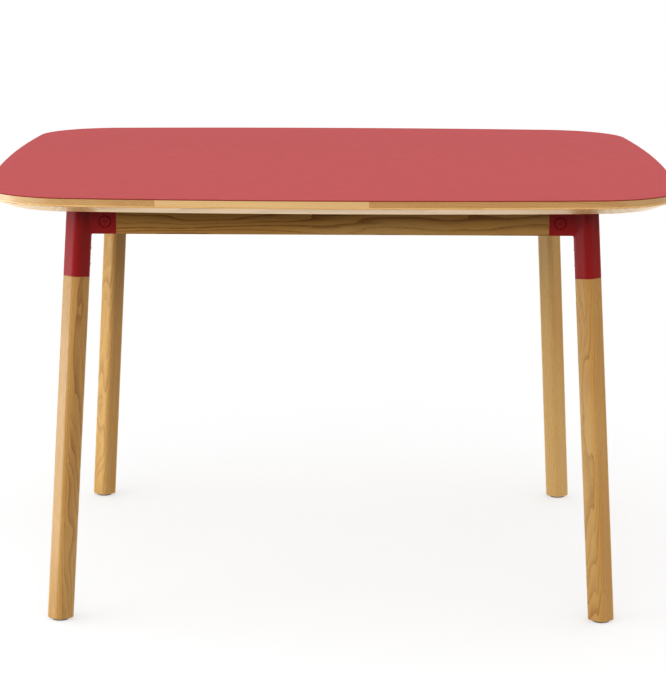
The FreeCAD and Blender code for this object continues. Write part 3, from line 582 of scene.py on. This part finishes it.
def glideFinish():
    finish, place = newFinish("glide_plastic")
    scuffs = place.stretch(*glide["scuffs"]).noise(detail=4.0, roughness=0.65).step(*glide["scuffEdge"])
    grain = place.noise(glide["grain"], detail=2.0)
    rough = glide["roughness"] + scuffs * glide["scuffRoughness"] + (grain - 0.5) * glide["grainRoughness"]
    dress(finish, place, {
        "Base Color": (scuffs * glide["scuffShare"]).between(glide["colour"], glide["scuff"]),
        "Roughness": rough,
        "Normal": grain.bump(glide["grainDepth"], strength=0.4),
    }, [f"glide_{corner}" for corner in corners])


glideFinish()
print("fittings dressed")

# pale studio floor: part of its white is glow, so shadows on it stay faint, and the table mirrors it
# brighter and warmer; its bounce is left to the lower half of the room, which shines through it
floor = {
    "reach": 60.0,
    "paper": (0.36, 0.36, 0.36, 1),
    "roughness": 0.9,
    "gloss": 0.1,
    "glow": 0.38,
    "glowTint": (1, 1, 1, 1),
    "mirrored": 1.50,
    "mirroredTint": (1.00, 0.97, 0.90, 1),
}


def makeFloor():
    mesh = bpy.data.meshes.new("floor")
    far = floor["reach"]
    mesh.from_pydata([(-far, -far, 0), (far, -far, 0), (far, far, 0), (-far, far, 0)], [], [(0, 1, 2, 3)])
    piece = bpy.data.objects.new("floor", mesh)
    bpy.context.scene.collection.objects.link(piece)
    finish, place = newFinish("floor_paper")
    seen = place.node("LightPath", {}, {}, "Is Camera Ray")
    paper = place.node("BsdfPrincipled", {}, {
        "Base Color": floor["paper"],
        "Roughness": floor["roughness"],
        "Specular IOR Level": floor["gloss"],
        "Emission Color": floor["glowTint"],
        "Emission Strength": floor["glow"],
    })
    sheen = place.node("Emission", {}, {"Color": floor["mirroredTint"], "Strength": floor["mirrored"]})
    surface = place.node("MixShader", {}, {0: seen, 1: sheen, 2: paper})
    place.node("OutputMaterial", {}, {"Surface": surface})
    mesh.materials.append(finish)
    piece.visible_diffuse = False
    piece.visible_shadow = False


makeFloor()

# soft boxes: place, aim, width and height in metres, power in watts, colour
studio = {
    "front": ((0.0, -6.00, 2.30), (0.0, -0.45, 0.66), 5.0, 1.2, 86, (1.00, 1.00, 1.00)),
    "left": ((-2.08, -1.55, 0.70), (-0.2, -0.2, 0.30), 1.2, 1.5, 10, (0.89, 1.00, 1.16)),
    "gleam": ((-2.34, -0.14, 0.22), (-0.44, -0.44, 0.12), 0.8, 0.5, 12.5, (0.90, 1.00, 1.13)),
    "low": ((-1.02, -0.42, 0.07), (-0.47, -0.47, 0.13), 0.5, 0.12, 0.60, (0.86, 1.00, 1.15)),
    "right": ((2.75, -2.05, 0.64), (0.47, -0.47, 0.64), 0.5, 0.8, 4, (1.00, 1.00, 1.00)),
}


def softBox(name, place, aim, width, height, power, colour):
    light = bpy.data.lights.new(name, "AREA")
    light.shape = "RECTANGLE"
    light.size = width
    light.size_y = height
    light.energy = power
    light.color = colour
    box = bpy.data.objects.new("soft_box_" + name, light)
    box.location = place
    box.rotation_euler = (Vector(aim) - Vector(place)).to_track_quat("-Z", "Y").to_euler()
    box.visible_camera = False
    bpy.context.scene.collection.objects.link(box)


for name, values in studio.items():
    softBox(name, *values)

# brightness of the room by height: under the floor, at the horizon, the ring of lamps, overhead;
# the pairs say where each of the last three starts, from -1 straight below to 1 straight above
room = {
    "under": 0.21,
    "horizon": 0.0,
    "ring": 1.18,
    "zenith": 0.56,
    "horizonFrom": (-0.02, 0.02),
    "ringFrom": (0.11, 0.19),
    "zenithFrom": (0.66, 0.74),
    "shown": 1.0,               # plain white where the camera looks past the floor
}


def makeRoom():
    world = bpy.data.worlds.new("studio")
    bpy.context.scene.world = world
    world.use_nodes = True
    world.node_tree.nodes.clear()
    look = Wire(world.node_tree.nodes.new("ShaderNodeTexCoord").outputs["Generated"])
    height = look.axis(2)
    glow = height.step(*room["horizonFrom"]) * (room["horizon"] - room["under"]) + room["under"]
    glow = glow + height.step(*room["ringFrom"]) * (room["ring"] - room["horizon"])
    glow = glow + height.step(*room["zenithFrom"]) * (room["zenith"] - room["ring"])
    seen = look.node("LightPath", {}, {}, "Is Camera Ray")
    shown = seen.node("Mix", {"data_type": "FLOAT"}, {0: seen, 2: glow, 3: room["shown"]})
    sky = look.node("Background", {}, {"Color": shown})
    look.node("OutputWorld", {}, {"Surface": sky})


makeRoom()
print("studio lit")

# the camera stands five metres off and above the top, and looks ten degrees down;
# it is turned aside and tilted by fractions of a degree
lens = {
    "place": (-0.005455, -5.03107, 1.30059),
    "yaw": 0.00153,             # angles in radians
    "pitch": 0.17781,
    "roll": 0.00501,
    "focal": 2739.94,           # pixels of the picture
    "picture": (666, 691),
    "sensor": 36.0,             # millimetres
    "sight": 200.0,             # how far the camera sees, metres
}


def makeCamera():
    data = bpy.data.cameras.new("camera")
    data.sensor_fit = "AUTO"
    data.sensor_width = lens["sensor"]
    data.lens = lens["focal"] * lens["sensor"] / max(lens["picture"])
    data.clip_end = lens["sight"]
    yaw, pitch, roll = lens["yaw"], lens["pitch"], lens["roll"]
    ahead = Vector((math.sin(yaw) * math.cos(pitch), math.cos(yaw) * math.cos(pitch), -math.sin(pitch)))
    right = Vector((math.cos(yaw), -math.sin(yaw), 0))
    up = right.cross(ahead)
    rolledRight = right * math.cos(roll) + up * math.sin(roll)
    rolledUp = up * math.cos(roll) - right * math.sin(roll)
    turn = Matrix((rolledRight, rolledUp, -ahead)).transposed().to_4x4()
    camera = bpy.data.objects.new("camera", data)
    camera.matrix_world = Matrix.Translation(lens["place"]) @ turn
    bpy.context.scene.collection.objects.link(camera)
    bpy.context.scene.camera = camera


makeCamera()
bpy.context.scene.view_settings.view_transform = "Standard"
bpy.context.scene.view_settings.look = "High Contrast"
print("camera set")
